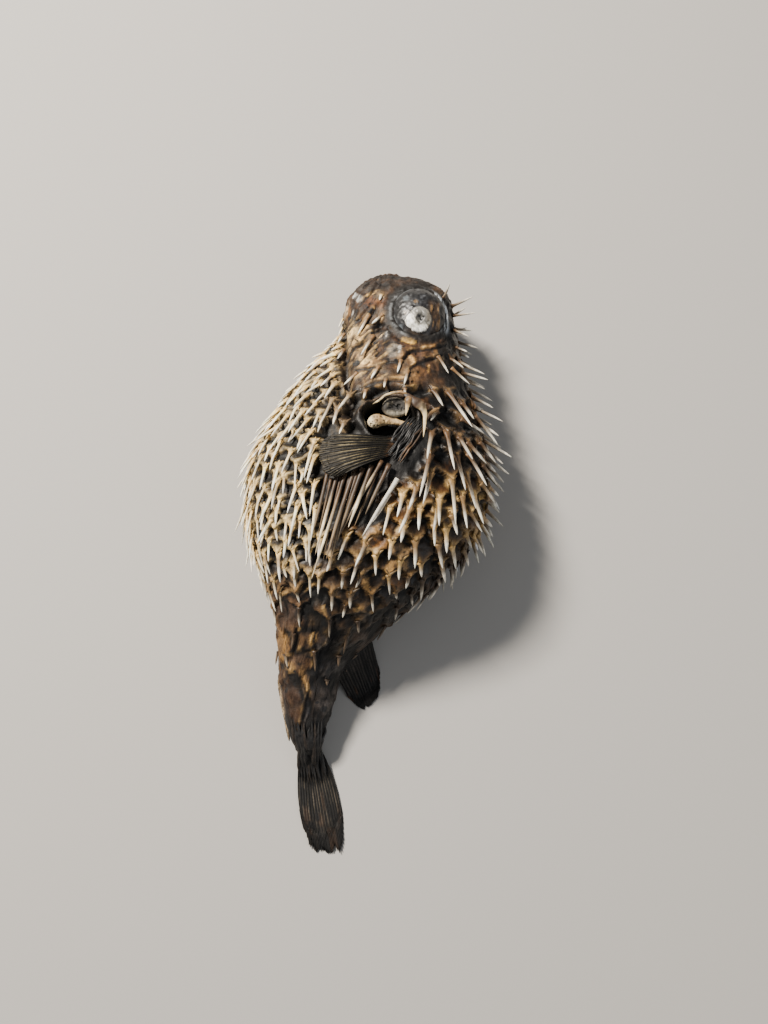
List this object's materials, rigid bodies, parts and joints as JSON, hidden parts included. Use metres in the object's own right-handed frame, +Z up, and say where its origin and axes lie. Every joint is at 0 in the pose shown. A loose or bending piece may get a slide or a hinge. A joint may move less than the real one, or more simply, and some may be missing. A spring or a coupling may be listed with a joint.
{
  "type": "dried porcupine pufferfish",
  "caption": "Dried porcupine pufferfish at life size, lying on its right side with its spines folded back, head, eye, open gill and fins; a still museum model.",
  "frame": {"origin": "centre of the flat under the trunk, where the body lies on the floor", "axes": "+Y from tail to snout, +X from belly to back, +Z up from the floor"},
  "size_m": [0.1502, 0.3242, 0.0892],
  "materials": {
    "head_skin": "dried skin, brown with a dark snout, cream cheek and small black spots",
    "trunk_skin": "dried skin with bony spine roots, cream on the belly, amber to dark brown on the back",
    "stalk_skin": "dried folded skin, dark brown with amber edges and black spots",
    "spines": "bone, ivory to grey-brown, satin",
    "eye": "dried cornea, dark grey with a clouded white lens",
    "beak": "tooth plate, ivory, satin",
    "bone": "pitted dry bone, matt",
    "gill_plate": "porous grey bone, matt",
    "fin": "dried fin, dark brown with pale rays",
    "fin_pale": "dried fin, tan with a pale rim"
  },
  "bodies": {
    "root": {"head": "head_skin", "trunk": "trunk_skin", "tail_stalk": "stalk_skin", "eye_left": "eye", "eye_right": "eye", "beak_upper": "beak", "beak_lower": "beak", "shoulder_bone": "bone", "gill_plate": "gill_plate", "pectoral_fin_left": "fin", "pectoral_fin_right": "fin", "tail_fin": "fin", "dorsal_fin": "fin", "anal_fin": "fin_pale"}
  },
  "joints": []
}
